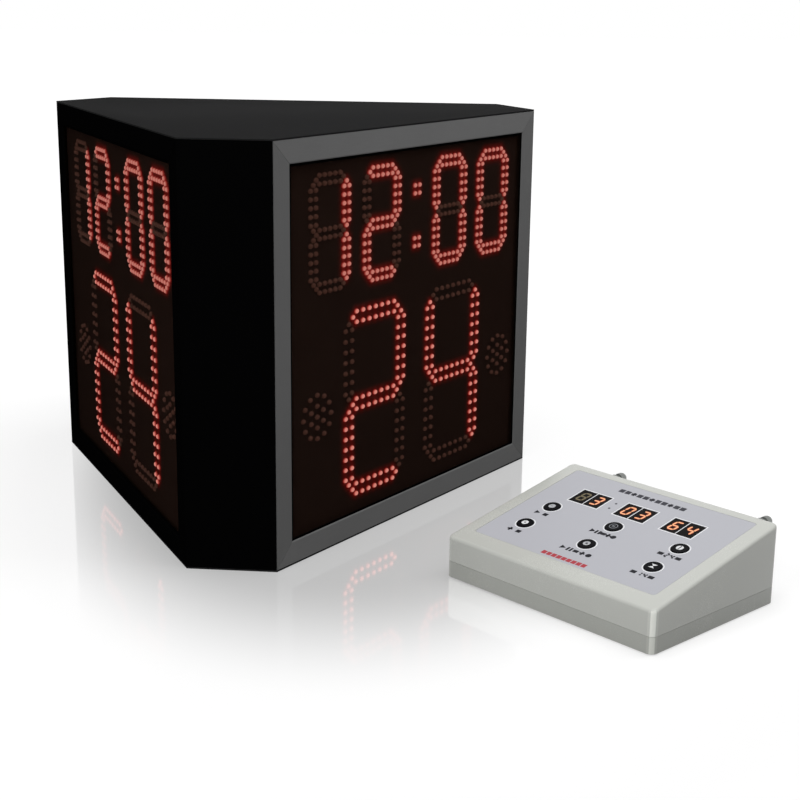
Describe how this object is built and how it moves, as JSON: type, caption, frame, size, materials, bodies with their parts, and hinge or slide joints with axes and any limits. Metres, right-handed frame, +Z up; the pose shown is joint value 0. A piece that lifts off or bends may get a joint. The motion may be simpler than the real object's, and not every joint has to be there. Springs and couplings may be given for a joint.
{
  "type": "shot clock",
  "caption": "Three-sided LED shot clock that stands on its own, with a sloping desk console that has press keys and digit windows.",
  "frame": {"origin": "middle of the underside of the display's base plate, on the surface it stands on", "axes": "+Z up; -Y towards the cut-off corner between the right and left faces, which faces the camera; the console stands at +X, -Y"},
  "size_m": [0.9699, 0.7827, 0.51],
  "materials": {
    "plate_grey": "satin powder coat",
    "sheet_black": "satin powder coat",
    "frame_grey": "dark grey anodised",
    "frame_black": "black anodised",
    "smoked_acrylic": "smoked, glossy",
    "led_board": "matte black solder mask",
    "board_green": "green solder mask",
    "supply_case": "zinc",
    "black_plastic": "moulded",
    "ribbon_grey": "matte insulation",
    "shell_grey": "fine spark texture",
    "film_grey": "satin film",
    "key_black": "semi-gloss",
    "module_black": "semi-gloss",
    "socket_metal": "dark nickel",
    "foot_rubber": "matte"
  },
  "bodies": {
    "root": {"base_plate": "plate_grey", "top_plate": "plate_grey", "front_corner_panel": "sheet_black", "right_corner_panel": "sheet_black", "left_corner_panel": "sheet_black", "right_face_top_rail": "frame_grey", "right_face_bottom_rail": "frame_grey", "right_face_left_stile": "frame_grey", "right_face_right_stile": "frame_grey", "right_face_window": "smoked_acrylic", "right_face_upper_led_board": "led_board", "right_face_lower_led_board": "led_board", "right_face_ribbon_cable": "ribbon_grey", "back_face_top_rail": "frame_grey", "back_face_bottom_rail": "frame_grey", "back_face_left_stile": "frame_grey", "back_face_right_stile": "frame_grey", "back_face_window": "smoked_acrylic", "back_face_upper_led_board": "led_board", "back_face_lower_led_board": "led_board", "back_face_ribbon_cable": "ribbon_grey", "left_face_top_rail": "frame_black", "left_face_bottom_rail": "frame_black", "left_face_left_stile": "frame_black", "left_face_right_stile": "frame_black", "left_face_window": "smoked_acrylic", "left_face_upper_led_board": "led_board", "left_face_lower_led_board": "led_board", "left_face_ribbon_cable": "ribbon_grey", "mains_inlet": "black_plastic", "data_socket": "socket_metal", "power_supply": "supply_case", "control_board": "board_green", "horn": "black_plastic", "inlet_lead": "black_plastic", "supply_lead": "black_plastic", "data_lead": "ribbon_grey", "horn_lead": "ribbon_grey"},
    "console": {"console_base": "shell_grey", "console_lid": "shell_grey", "panel_overlay": "film_grey", "key_board": "board_green", "minutes_digits": "module_black", "seconds_digits": "module_black", "shot_digits": "module_black", "console_power_socket": "socket_metal", "console_data_socket": "socket_metal", "console_power_lead": "ribbon_grey", "console_data_lead": "ribbon_grey", "console_foot_1": "foot_rubber", "console_foot_2": "foot_rubber", "console_foot_3": "foot_rubber", "console_foot_4": "foot_rubber"},
    "back_left_key": {"key_back_left": "key_black"},
    "back_middle_key": {"key_back_middle": "key_black"},
    "back_right_key": {"key_back_right": "key_black"},
    "front_left_key": {"key_front_left": "key_black"},
    "front_middle_key": {"key_front_middle": "key_black"},
    "front_right_key": {"key_front_right": "key_black"}
  },
  "joints": [
    {"name": "console_lift", "type": "slide", "parent": "root", "child": "console", "axis": [0, 0, 1], "range_m": [0, 0.3]},
    {"name": "back_left_press", "type": "slide", "parent": "console", "child": "back_left_key", "axis": [0.1328, 0.1466, -0.9802], "range_m": [0, 0.0008], "stiffness_N_per_m": 800},
    {"name": "back_middle_press", "type": "slide", "parent": "console", "child": "back_middle_key", "axis": [0.1328, 0.1466, -0.9802], "range_m": [0, 0.0008], "stiffness_N_per_m": 800},
    {"name": "back_right_press", "type": "slide", "parent": "console", "child": "back_right_key", "axis": [0.1328, 0.1466, -0.9802], "range_m": [0, 0.0008], "stiffness_N_per_m": 800},
    {"name": "front_left_press", "type": "slide", "parent": "console", "child": "front_left_key", "axis": [0.1328, 0.1466, -0.9802], "range_m": [0, 0.0008], "stiffness_N_per_m": 800},
    {"name": "front_middle_press", "type": "slide", "parent": "console", "child": "front_middle_key", "axis": [0.1328, 0.1466, -0.9802], "range_m": [0, 0.0008], "stiffness_N_per_m": 800},
    {"name": "front_right_press", "type": "slide", "parent": "console", "child": "front_right_key", "axis": [0.1328, 0.1466, -0.9802], "range_m": [0, 0.0008], "stiffness_N_per_m": 800}
  ]
}
